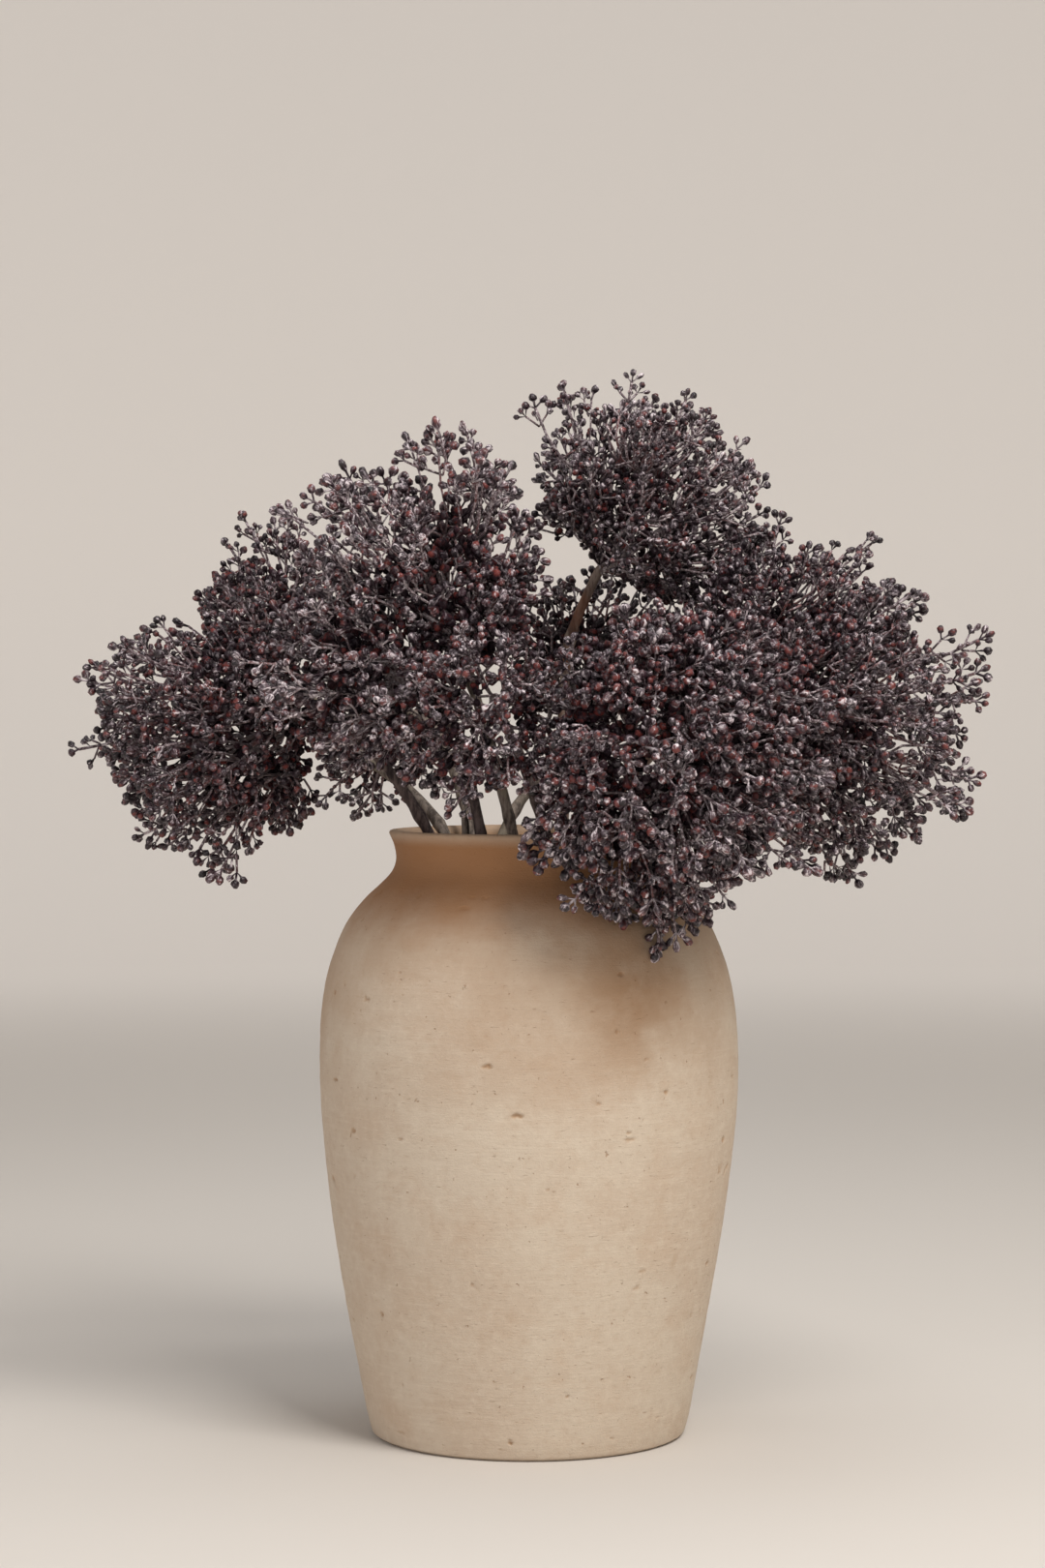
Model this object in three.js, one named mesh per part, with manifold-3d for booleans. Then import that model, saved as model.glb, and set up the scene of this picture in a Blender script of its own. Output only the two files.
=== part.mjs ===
// Dried viburnum berry sprigs standing in a rustic earthenware vase.
// Millimetres, +Z up. The origin is the centre of the vase's foot and -Y is the front.
import * as THREE from "three";
import { mergeVertices } from "three/addons/utils/BufferGeometryUtils.js";
import Module from "manifold-3d";

const wasm = await Module();
wasm.setup();

const { cos, sin, sqrt, min, PI } = Math;
const UP = new THREE.Vector3(0, 1, 0);

// ---------------------------------------------------------------- driving dimensions

const VASE = {
  height: 300,
  footRadius: 78,
  lipRadius: 68.8,
  wall: 7,
  floor: 10,
  sides: 36,
  wallPoints: 13, // steps up the outside, from foot to neck
};

// The rounded lip, from the flare below it over to the inside: steps in from the lip's
// radius, and down from its top.
const LIP = { flare: 1, outerDrop: 2.5, crestInset: 1.6, innerDrop: 1, innerInset: 6 };

// Radius and height where the outside of the vase changes its curve, from foot to neck.
const VASE_OUTLINE = [
  [VASE.footRadius, 0],
  [89.7, 60],
  [101.3, 140],
  [104, 187],
  [100.3, 225],
  [89.7, 255],
  [73, 273],
  [65, 285],
];

const STEM = {
  cutRadius: 3.6, // at the cut end on the vase's floor
  hubRadius: 2.7, // where the rays of the berry head spread
  sides: 6,
  rings: 13,
};

// The cut ends stand in a ring on the floor, turned round from where each stem
// crosses the mouth, so the stems pass one another in a spiral round an open middle.
const SPIRAL = { cutRing: 50, turn: 115, mouthHeight: 296 };

const HEAD = {
  hubRadius: 5.5,
  hubLead: 8, // from the end of the stem to the middle of the hub
  rayRadius: 2.2, // where a ray leaves the hub
  rayTipRadius: 1.4,
  clusterRadius: 0.15, // of the head's reach
  baseShare: 0.45, // of the reach, from the hub to the middle of the dome
  shortest: 0.24, // of the reach: a ray shorter than this is left out
  interlock: 14, // how far a cluster may pass the flat between two heads
};

// Rays leave the hub in three rings: how many, their angle from the way the head faces,
// and a turn of the ring, all in radians.
const RINGS = [
  { rays: 3, tilt: 0.32, turn: 0 },
  { rays: 5, tilt: 0.8, turn: 0.2 },
  { rays: 6, tilt: 1.24, turn: 0.2 + PI / 5 },
];
const WOBBLE = 0.16; // radians, the spread of a ray's own angles
const RAY_SHARES = [1, 0.92, 0.84, 0.76, 0.68, 0.6]; // lengths to try where pieces press

// The air left between two pieces that would otherwise touch.
const GAP = 0.6;
const DISTANCE_SAMPLES = 12; // steps along a piece when its distance to another is found

// One row for each sprig: the angle and radius where its stem crosses the mouth, the hub
// where its rays spread, the way the dome of berries faces, and the dome's reach from the
// hub and half width across.
const SPRIGS = [
  { name: "left", mouth: [192, 49], hub: [-110, -12, 354], facing: [-0.96, -0.22, -0.12], reach: 104, half: 66 },
  { name: "back_left", mouth: [150, 48], hub: [-121, 90, 378], facing: [-0.42, 0.2, 0.86], reach: 86, half: 44 },
  { name: "low_back_left", mouth: [128, 47], hub: [-62, 86, 358], facing: [-0.45, 0.82, -0.2], reach: 84, half: 46 },
  { name: "front_left", mouth: [242, 48], hub: [-48, -44, 366], facing: [-0.72, -0.5, 0.36], reach: 98, half: 52 },
  { name: "top_centre", mouth: [262, 48], hub: [-32, -50, 388], facing: [-0.28, -0.36, 0.88], reach: 108, half: 58 },
  { name: "low_centre", mouth: [281, 49], hub: [-16, -60, 361], facing: [-0.16, -0.95, 0.02], reach: 84, half: 50 },
  { name: "top_right", mouth: [68, 46], hub: [34, 40, 426], facing: [0.57, -0.12, 0.82], reach: 102, half: 66 },
  { name: "upper_right", mouth: [30, 48], hub: [103, 12, 364], facing: [0.48, -0.14, 0.87], reach: 93, half: 54 },
  { name: "right", mouth: [356, 50], hub: [108, -18, 361], facing: [0.93, -0.18, -0.16], reach: 111, half: 75 },
  { name: "front_right", mouth: [302, 48], hub: [49, -51, 351], facing: [0.4, -0.81, -0.43], reach: 108, half: 86 },
  { name: "back_centre", mouth: [106, 48], hub: [24, 74, 356], facing: [0.14, 0.55, 0.8], reach: 90, half: 54 },
  { name: "back_right", mouth: [50, 51], hub: [80, 62, 350], facing: [0.55, 0.8, 0.2], reach: 92, half: 56 },
];

// A cut side twig that ends at the height of the lip.
const TWIG = { mouth: [225, 45], top: [-31, -33, 306], cutRadius: 2.4, topRadius: 2 };

// ---------------------------------------------------------------- materials

const clay = new THREE.MeshStandardMaterial({ color: 0xd8c6ab, roughness: 0.9 });
const bark = new THREE.MeshStandardMaterial({ color: 0x6b5a4c, roughness: 0.85 });
const berries = new THREE.MeshStandardMaterial({ color: 0x3a2d31, roughness: 0.6 });

// ---------------------------------------------------------------- helpers

// A repeatable stream of numbers from 0 to 1.
function numberStream(seed) {
  let state = seed;
  return () => {
    state = (state * 1664525 + 1013904223) % 4294967296;
    return state / 4294967296;
  };
}

function onRing(degrees, radius, height) {
  const angle = (degrees * PI) / 180;
  return new THREE.Vector3(radius * cos(angle), radius * sin(angle), height);
}

function solidOf(geometry) {
  const bare = geometry.clone();
  bare.deleteAttribute("normal");
  bare.deleteAttribute("uv");
  const merged = mergeVertices(bare, 1e-3);
  return new wasm.Manifold(
    new wasm.Mesh({
      numProp: 3,
      vertProperties: new Float32Array(merged.attributes.position.array),
      triVerts: new Uint32Array(merged.index.array),
    }),
  );
}

function geometryOf(solid) {
  const mesh = solid.getMesh();
  return new THREE.BufferGeometry()
    .setAttribute("position", new THREE.BufferAttribute(mesh.vertProperties, 3))
    .setIndex(new THREE.BufferAttribute(mesh.triVerts, 1));
}

function named(name, geometry, material) {
  const mesh = new THREE.Mesh(geometry, material);
  mesh.name = name;
  return mesh;
}

// Shortest distance between two straight pieces, by sampling the first one.
function distanceBetween(first, second) {
  const line = new THREE.Line3(second.from, second.to);
  const point = new THREE.Vector3();
  const nearest = new THREE.Vector3();
  let shortest = Infinity;
  for (let i = 0; i <= DISTANCE_SAMPLES; i++) {
    point.lerpVectors(first.from, first.to, i / DISTANCE_SAMPLES);
    line.closestPointToPoint(point, true, nearest);
    shortest = min(shortest, point.distanceTo(nearest));
  }
  return shortest;
}

// ---------------------------------------------------------------- vase

const outside = new THREE.SplineCurve(VASE_OUTLINE.map(([r, z]) => new THREE.Vector2(r, z)));

// The outside radius at a height, up to the neck.
function vaseRadiusAt(height) {
  const points = outside.getPoints(60);
  const above = points.findIndex((p) => p.y >= height);
  return above < 0 ? VASE.lipRadius : points[above].x;
}

function vase() {
  const wallPoints = outside.getPoints(VASE.wallPoints);
  const profile = [new THREE.Vector2(0, 0), ...wallPoints];
  const rise = VASE.height - wallPoints.at(-1).y;
  profile.push(new THREE.Vector2(VASE.lipRadius - LIP.flare, VASE.height - rise / 3));
  profile.push(new THREE.Vector2(VASE.lipRadius, VASE.height - LIP.outerDrop));
  profile.push(new THREE.Vector2(VASE.lipRadius - LIP.crestInset, VASE.height));
  profile.push(new THREE.Vector2(VASE.lipRadius - LIP.innerInset, VASE.height - LIP.innerDrop));

  // The inside follows the outside one wall thickness in, down to the floor.
  for (let i = wallPoints.length - 1; i > 0; i--) {
    const along = outside.getTangent(i / (wallPoints.length - 1));
    const inner = wallPoints[i].clone().add(new THREE.Vector2(-along.y, along.x).multiplyScalar(VASE.wall));
    if (inner.y > VASE.floor + 2 && inner.y < VASE.height - 6) profile.push(inner);
  }
  profile.push(new THREE.Vector2(VASE.footRadius - VASE.wall - 3, VASE.floor));
  profile.push(new THREE.Vector2(0, VASE.floor));
  return named("vase", new THREE.LatheGeometry(profile, VASE.sides).rotateX(PI / 2), clay);
}

// ---------------------------------------------------------------- stems

// A round limb that tapers along a curve, flat at both ends: a lathe turned upright,
// then each ring carried to its place on the curve.
function limb(curve, fromRadius, toRadius, sides, rings) {
  const profile = [new THREE.Vector2(0, 0)];
  for (let i = 0; i <= rings; i++) {
    profile.push(new THREE.Vector2(fromRadius + ((toRadius - fromRadius) * i) / rings, i));
  }
  profile.push(new THREE.Vector2(0, rings));
  const geometry = new THREE.LatheGeometry(profile, sides);
  const frames = curve.computeFrenetFrames(rings, false);
  const places = curve.getSpacedPoints(rings);
  const position = geometry.attributes.position;
  for (let i = 0; i < position.count; i++) {
    const ring = Math.round(position.getY(i));
    const place = places[ring]
      .clone()
      .addScaledVector(frames.normals[ring], position.getX(i))
      .addScaledVector(frames.binormals[ring], -position.getZ(i));
    position.setXYZ(i, place.x, place.y, place.z);
  }
  return geometry;
}

// From the cut end, straight through the vase to the mouth, then bending to face the
// way the berries do.
function stemCurve(mouth, hub, facing) {
  const cut = onRing(mouth[0] + SPIRAL.turn, SPIRAL.cutRing, VASE.floor + 2);
  const atMouth = onRing(mouth[0], mouth[1], SPIRAL.mouthHeight);
  const above = hub.clone().sub(atMouth);
  const arrival = above.clone().normalize().add(facing).normalize();
  return new THREE.CatmullRomCurve3([
    cut,
    cut.clone().lerp(atMouth, 0.5),
    atMouth,
    hub.clone().addScaledVector(arrival, -0.3 * above.length()),
    hub,
  ]);
}

// A curve as straight pieces with a radius, to keep other pieces clear of it.
function straightPieces(curve, radius, owner) {
  const points = curve.getSpacedPoints(STEM.rings);
  return points.slice(1).map((to, i) => ({ from: points[i], to, radius, owner }));
}

// ---------------------------------------------------------------- berry heads

// The dome of a head is the far part of an ellipsoid whose near end is just behind the
// hub; this is its distance from the hub at an angle from the way it faces.
function domeReach(sprig, angle) {
  const middle = sprig.reach * HEAD.baseShare;
  const long = sprig.reach - middle;
  const wide = sprig.half;
  const a = (cos(angle) / long) ** 2 + (sin(angle) / wide) ** 2;
  const b = (-2 * cos(angle) * middle) / long ** 2;
  const c = (middle / long) ** 2 - 1;
  return (-b + sqrt(b * b - 4 * a * c)) / (2 * a);
}

// Heads that press together part along the flat between their two domes, apart from the
// clusters that interlock there. This is the furthest that a cluster may go from the hub.
function neighbourReach(sprig, direction, clusterRadius) {
  let furthest = Infinity;
  for (const other of sprigs) {
    if (other === sprig) continue;
    const across = other.middle.clone().sub(sprig.middle);
    const level =
      (other.middle.lengthSq() - sprig.middle.lengthSq() + sprig.size ** 2 - other.size ** 2) / 2;
    const margin = (clusterRadius - HEAD.interlock) * across.length();
    const closing = direction.dot(across);
    if (closing > 0) furthest = min(furthest, (level - sprig.hub.dot(across) - margin) / closing);
  }
  return furthest;
}

// Whether a straight piece is clear of the vase and of every other sprig's pieces.
function isClear(piece, obstacles) {
  const nearVase = [piece.from, piece.to].some((p) => {
    if (p.z > VASE.height + piece.radius + GAP) return false;
    return sqrt(p.x ** 2 + p.y ** 2) < vaseRadiusAt(p.z) + piece.radius + GAP;
  });
  if (nearVase) return false;
  return obstacles.every(
    (other) =>
      other.owner === piece.owner || distanceBetween(piece, other) > piece.radius + other.radius + GAP,
  );
}

// A ray from the hub: a slim cone between two points.
function ray(from, to) {
  const along = to.clone().sub(from);
  const turned = new THREE.Quaternion().setFromUnitVectors(UP, along.clone().normalize());
  const geometry = new THREE.CylinderGeometry(HEAD.rayTipRadius, HEAD.rayRadius, along.length(), 3);
  geometry.applyQuaternion(turned);
  return geometry.translate(...from.clone().lerp(to, 0.5));
}

// The hub, its rays, and the cluster of berries that each ray carries, joined in one solid.
function berryHead(sprig, obstacles) {
  const random = numberStream(sprig.seed);
  const wobble = () => (random() - 0.5) * WOBBLE;
  const facingTurn = new THREE.Quaternion().setFromUnitVectors(new THREE.Vector3(0, 0, 1), sprig.facing);
  const clusterRadius = sprig.reach * HEAD.clusterRadius;
  const hub = sprig.hub.clone().addScaledVector(sprig.facing, HEAD.hubLead);
  const outline = (from, tip) => [
    { from: tip, to: tip, radius: clusterRadius, owner: sprig.name },
    { from, to: tip, radius: HEAD.rayRadius, owner: sprig.name },
  ];
  const isFree = (from, direction, length) =>
    outline(from, from.clone().addScaledVector(direction, length)).every((piece) => isClear(piece, obstacles));
  let head = solidOf(new THREE.IcosahedronGeometry(HEAD.hubRadius, 0).translate(...hub));

  for (const ring of RINGS) {
    for (let i = 0; i < ring.rays; i++) {
      const tilt = ring.tilt + wobble();
      const turn = ring.turn + (i * 2 * PI) / ring.rays + wobble();
      const direction = new THREE.Vector3(sin(tilt) * cos(turn), sin(tilt) * sin(turn), cos(tilt));
      direction.applyQuaternion(facingTurn);
      const free = domeReach(sprig, tilt) - clusterRadius;
      const furthest = min(free, neighbourReach(sprig, direction, clusterRadius));
      const length = RAY_SHARES.map((share) => share * furthest).find(
        (tried) => tried > sprig.reach * HEAD.shortest && isFree(hub, direction, tried),
      );
      if (!length) continue;
      const tip = hub.clone().addScaledVector(direction, length);
      const [cluster, way] = outline(hub, tip);
      obstacles.push(cluster, way);
      const lump = new THREE.IcosahedronGeometry(clusterRadius, 0);
      lump.rotateZ(random() * PI).rotateX(random() * PI);
      head = head.add(solidOf(ray(hub, tip))).add(solidOf(lump.translate(...tip)));
    }
  }
  return named(`sprig_${sprig.name}_berries`, geometryOf(head), berries);
}

// ---------------------------------------------------------------- assembly

const sprigs = SPRIGS.map((row, index) => {
  const hub = new THREE.Vector3(...row.hub);
  const facing = new THREE.Vector3(...row.facing).normalize();
  const middle = hub.clone().addScaledVector(facing, row.reach * HEAD.baseShare);
  const size = (row.reach * (1 - HEAD.baseShare) + row.half) / 2;
  return { ...row, hub, facing, middle, size, curve: stemCurve(row.mouth, hub, facing), seed: 71 + index };
});

const twigTop = new THREE.Vector3(...TWIG.top);
const twigCurve = stemCurve(TWIG.mouth, twigTop, new THREE.Vector3(0, 0, 1));

const obstacles = [
  ...sprigs.flatMap((sprig) => straightPieces(sprig.curve, STEM.cutRadius, sprig.name)),
  ...straightPieces(twigCurve, TWIG.cutRadius, "twig"),
];

const group = new THREE.Group();
group.add(vase());
group.add(named("cut_twig", limb(twigCurve, TWIG.cutRadius, TWIG.topRadius, STEM.sides, STEM.rings), bark));
for (const sprig of sprigs) {
  const stem = limb(sprig.curve, STEM.cutRadius, STEM.hubRadius, STEM.sides, STEM.rings);
  group.add(named(`sprig_${sprig.name}_stem`, stem, bark));
  group.add(berryHead(sprig, obstacles));
}

export default group;
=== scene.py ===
import math
import random
from typing import NamedTuple

import bmesh
import bpy
from mathutils import Matrix, Quaternion, Vector, noise
from mathutils.geometry import interpolate_bezier
from mathutils.kdtree import KDTree


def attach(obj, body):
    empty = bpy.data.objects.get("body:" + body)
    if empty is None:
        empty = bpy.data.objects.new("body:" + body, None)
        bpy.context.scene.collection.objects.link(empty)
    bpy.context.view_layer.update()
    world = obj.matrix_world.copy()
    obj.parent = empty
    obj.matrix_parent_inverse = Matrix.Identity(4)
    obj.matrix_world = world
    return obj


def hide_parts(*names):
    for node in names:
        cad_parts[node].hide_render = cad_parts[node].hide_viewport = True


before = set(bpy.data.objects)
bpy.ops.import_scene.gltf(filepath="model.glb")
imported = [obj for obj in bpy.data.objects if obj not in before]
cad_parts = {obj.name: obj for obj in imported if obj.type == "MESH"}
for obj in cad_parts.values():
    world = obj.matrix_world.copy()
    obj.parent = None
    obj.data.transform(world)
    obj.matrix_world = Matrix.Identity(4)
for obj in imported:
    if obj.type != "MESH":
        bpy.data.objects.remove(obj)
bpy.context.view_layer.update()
noise.seed_set(1)  # left alone, the vector noise takes its seed from the clock

MM = 0.001
UP = Vector((0, 0, 1))
WELD = 1e-6  # corners closer than this, in metres, are one

# ---------------------------------------------------------------- shared helpers


def paint(code):
    """An sRGB hex colour as the linear colour that a shader takes."""
    parts = [int(code[i : i + 2], 16) / 255 for i in (1, 3, 5)]
    return (*[c / 12.92 if c <= 0.04045 else ((c + 0.055) / 1.055) ** 2.4 for c in parts], 1.0)


def per_mm(size):
    """Texture scale that draws features this many millimetres across."""
    return 1000.0 / size


def node(tree, kind, inputs=None, **settings):
    """Adds a shader node; an input is given a value, or another node's output to link."""
    made = tree.nodes.new("ShaderNode" + kind)
    for name, value in settings.items():
        setattr(made, name, value)
    for name, value in (inputs or {}).items():
        socket = made.inputs[name]
        if isinstance(value, bpy.types.NodeSocket):
            tree.links.new(value, socket)
        else:
            socket.default_value = value
    return made


def new_material(name, **sockets):
    """A material whose own shader sockets are set by name."""
    material = bpy.data.materials.new(name)
    material.use_nodes = True
    shader = material.node_tree.nodes["Principled BSDF"]
    for socket, value in sockets.items():
        shader.inputs[socket.replace("_", " ")].default_value = value
    return material, material.node_tree, shader


def blended(tree, amount, first, second):
    """The colour output of a mix of two colours."""
    return node(tree, "Mix", {0: amount, 6: first, 7: second}, data_type="RGBA").outputs[2]


def ramp(tree, value, low, high, start=0.0, end=1.0):
    """A smooth step from start to end as value goes from low to high."""
    inputs = {"Value": value, "From Min": low, "From Max": high, "To Min": start, "To Max": end}
    return node(tree, "MapRange", inputs, interpolation_type="SMOOTHSTEP").outputs["Result"]


def maths(tree, operation, first, second):
    return node(tree, "Math", {0: first, 1: second}, operation=operation).outputs[0]


def cloud(tree, vector, size, detail, roughness=0.5, distortion=0.0):
    """The value of a noise whose features are this many millimetres across."""
    inputs = {"Vector": vector, "Scale": per_mm(size), "Detail": detail}
    inputs |= {"Roughness": roughness, "Distortion": distortion}
    return node(tree, "TexNoise", inputs).outputs["Fac"]


def attribute(tree, name, output="Fac"):
    return node(tree, "Attribute", attribute_name=name).outputs[output]


def roughen(tree, shader, height, strength, depth):
    """Bump on a shader, this many millimetres deep."""
    bump = node(tree, "Bump", {"Height": height, "Strength": strength, "Distance": depth * MM})
    tree.links.new(bump.outputs[0], shader.inputs["Normal"])


def show(name, mesh, material, slot, *replaced):
    """Puts a finished mesh in the scene as a piece of the part."""
    mesh.name = name
    mesh.polygons.foreach_set("use_smooth", [True] * len(mesh.polygons))
    piece = bpy.data.objects.new(name, mesh)
    bpy.context.scene.collection.objects.link(piece)
    mesh.materials.append(material)
    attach(piece, "root")
    if replaced:
        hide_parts(*replaced)


def mesh_of(bm, name):
    mesh = bpy.data.meshes.new(name)
    bm.to_mesh(mesh)
    bm.free()
    return mesh


def put_in_order(bm):
    """Orders a mesh's parts by where they are, because operators leave them in any order."""

    def corners(part):
        return sorted(vert.index for vert in part.verts)

    for parts, place in ((bm.verts, lambda vert: vert.co[:]), (bm.edges, corners), (bm.faces, corners)):
        rank = {part: i for i, part in enumerate(sorted(parts, key=place))}
        parts.sort(key=rank.get)
        parts.index_update()


def turned(points, steps):
    """A line of points turned round the Z axis, where a point on the axis becomes a single pole."""
    bm = bmesh.new()
    angles = [math.tau * i / steps for i in range(steps)]
    rings = []
    for x, _, z in points:
        if x < WELD:
            rings.append([bm.verts.new((0, 0, z))] * steps)
        else:
            rings.append([bm.verts.new((x * math.cos(a), x * math.sin(a), z)) for a in angles])
    for low, high in zip(rings, rings[1:]):
        for i in range(steps):
            corners = (low[i - 1], low[i], high[i], high[i - 1])
            bm.faces.new(list(dict.fromkeys(corners)))  # each once, because a pole comes up twice
    bmesh.ops.recalc_face_normals(bm, faces=bm.faces)
    put_in_order(bm)
    return bm


def lookup(points):
    """A search tree that gives the number of the point."""
    tree = KDTree(len(points))
    for i, point in enumerate(points):
        tree.insert(point, i)
    tree.balance()
    return tree


def note(mesh, name, values, kind="FLOAT"):
    """Stores a number or a vector for each vertex, for the material to read."""
    data = mesh.attributes.new(name, kind, "POINT").data
    data.foreach_set("value" if kind == "FLOAT" else "vector", values)


def smooth_line(points, steps):
    """Points along a smooth curve that passes through the given ones."""
    ends = [points[0] * 2 - points[1], *points, points[-1] * 2 - points[-2]]
    line = []
    for a, b, c, d in zip(ends, ends[1:], ends[2:], ends[3:]):
        part = interpolate_bezier(b, b + (c - a) / 6, c - (d - b) / 6, c, steps + 1)
        line += part[:-1]
    return [Vector(p) for p in line] + [points[-1].copy()]


# ---------------------------------------------------------------- materials

# Heights in metres between which the clay of the shoulder comes to its full soiling, which is also
# painted shade from the heads above, the neck comes to its full brown, a stain that is also painted
# shade, and that brown fades on the lip. Then the middle and reach of one smudge, a stain that is also a
# painted shadow of the heads.
SOILED_AND_SHADED_HEIGHTS = (0.16, 0.28)
NECK_STAIN_AND_SHADE_HEIGHTS = (0.254, 0.287)
LIP_HEIGHTS = (0.2925, 0.2985)
SHADOW_SMUDGE_PLACE, SHADOW_SMUDGE_REACH = (0.051, -0.086, 0.228), 0.056


def limewashed_earthenware():
    """Unglazed thrown clay under a thin chalky wash: dead matt cream, softly clouded, brown round the
    neck and shoulder, partly stain and partly painted shade under the heads, with chips and pinholes of
    bare clay."""
    material, tree, shader = new_material("limewashed_earthenware", Specular_IOR_Level=0.25)
    place = node(tree, "TexCoord").outputs["Object"]

    def blotches(size, detail, stretch=(1, 1, 1), roughness=0.55, shift=0.0):
        mapping = {"Vector": place, "Scale": stretch, "Location": (shift,) * 3}
        return cloud(tree, node(tree, "Mapping", mapping).outputs[0], size, detail, roughness)

    def tinted(wash, amount, code):
        return blended(tree, amount, wash, paint(code))

    def scaled(value, share):
        return maths(tree, "MULTIPLY", value, share)

    broad = blotches(75, 2)
    patches = blotches(24, 4, shift=0.4)
    mottle = blotches(5, 4, roughness=0.7, shift=0.9)
    brushed = blotches(30, 5, stretch=(1, 1, 16), roughness=0.65)
    fine_lines = blotches(9, 4, stretch=(1, 1, 9), roughness=0.75, shift=0.7)
    grit = blotches(0.8, 3, roughness=0.7)
    chipped = ramp(tree, blotches(3.6, 3, roughness=0.6, shift=1.3), 0.69, 0.74)
    pierced = ramp(tree, blotches(1.5, 2, shift=2.1), 0.73, 0.78)
    scratched = ramp(tree, blotches(4.5, 2, stretch=(1, 1, 7), shift=3.1), 0.7, 0.75)

    # The wash, thicker and thinner, and bare clay where it is chipped.
    wash = blended(tree, ramp(tree, broad, 0.35, 0.65), paint("#c5b4a1"), paint("#cbbdab"))
    wash = tinted(wash, ramp(tree, patches, 0.45, 0.7, 0, 0.4), "#c1ab95")
    wash = tinted(wash, ramp(tree, mottle, 0.5, 0.7, 0, 0.3), "#d8ccba")
    wash = tinted(wash, ramp(tree, mottle, 0.5, 0.3, 0, 0.25), "#b59c84")
    wash = tinted(wash, ramp(tree, brushed, 0.48, 0.7, 0, 0.25), "#d6cab8")
    wash = tinted(wash, ramp(tree, fine_lines, 0.55, 0.75, 0, 0.14), "#b39d84")
    wash = tinted(wash, scaled(chipped, 0.55), "#96714f")
    wash = tinted(wash, scaled(pierced, 0.5), "#8a6a4d")
    wash = tinted(wash, scaled(scratched, 0.4), "#98765a")
    wash = tinted(wash, scaled(attribute(tree, "pitted"), 0.8), "#a17f5e")

    # Stains and painted shade: soiling of the shoulder, also painted shade; one smudge on it, also a
    # painted shadow; and the brown neck, also painted shade.
    height_up = node(tree, "SeparateXYZ", {0: place}).outputs["Z"]
    # Painted shade: the shoulder darkens towards the top, partly soiling and partly the shade cast by
    # the heads.
    uneven = scaled(maths(tree, "SUBTRACT", blotches(55, 2, shift=0.23), 0.5), 0.2)
    soiling_and_painted_shade = ramp(tree, maths(tree, "ADD", height_up, uneven), *SOILED_AND_SHADED_HEIGHTS, 0.0, 0.6)
    wash = tinted(wash, soiling_and_painted_shade, "#a98b70")
    # Painted shadow: a soft dark smudge under the front right head, partly stain.
    apart = node(tree, "VectorMath", {0: place, 1: SHADOW_SMUDGE_PLACE}, operation="DISTANCE").outputs["Value"]
    shadow_smudge = ramp(tree, apart, SHADOW_SMUDGE_REACH, 0.0)
    shadow_smudge = maths(tree, "MULTIPLY", shadow_smudge, ramp(tree, patches, 0.3, 0.6, 0.3, 0.75))
    wash = tinted(wash, shadow_smudge, "#93704f")
    # Painted shade: the brown neck is partly stain and partly the shade under the heads, and it fades on
    # the lip.
    neck = ramp(tree, maths(tree, "ADD", height_up, scaled(patches, 0.02)), *NECK_STAIN_AND_SHADE_HEIGHTS)
    stain_and_painted_shade = maths(tree, "MULTIPLY", neck, ramp(tree, height_up, *LIP_HEIGHTS, 0.9, 0.2))
    wash = tinted(wash, stain_and_painted_shade, "#9d704a")
    tree.links.new(wash, shader.inputs["Base Color"])
    tree.links.new(ramp(tree, patches, 0.3, 0.7, 0.82, 0.96), shader.inputs["Roughness"])

    relief = maths(tree, "ADD", scaled(grit, 0.3), scaled(fine_lines, 0.4))
    relief = maths(tree, "ADD", relief, scaled(mottle, 0.62))
    for hollow, depth in ((chipped, 0.6), (pierced, 0.5), (scratched, 0.4)):
        relief = maths(tree, "SUBTRACT", relief, scaled(hollow, depth))
    roughen(tree, shader, relief, 0.7, 0.75)
    return material


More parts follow.
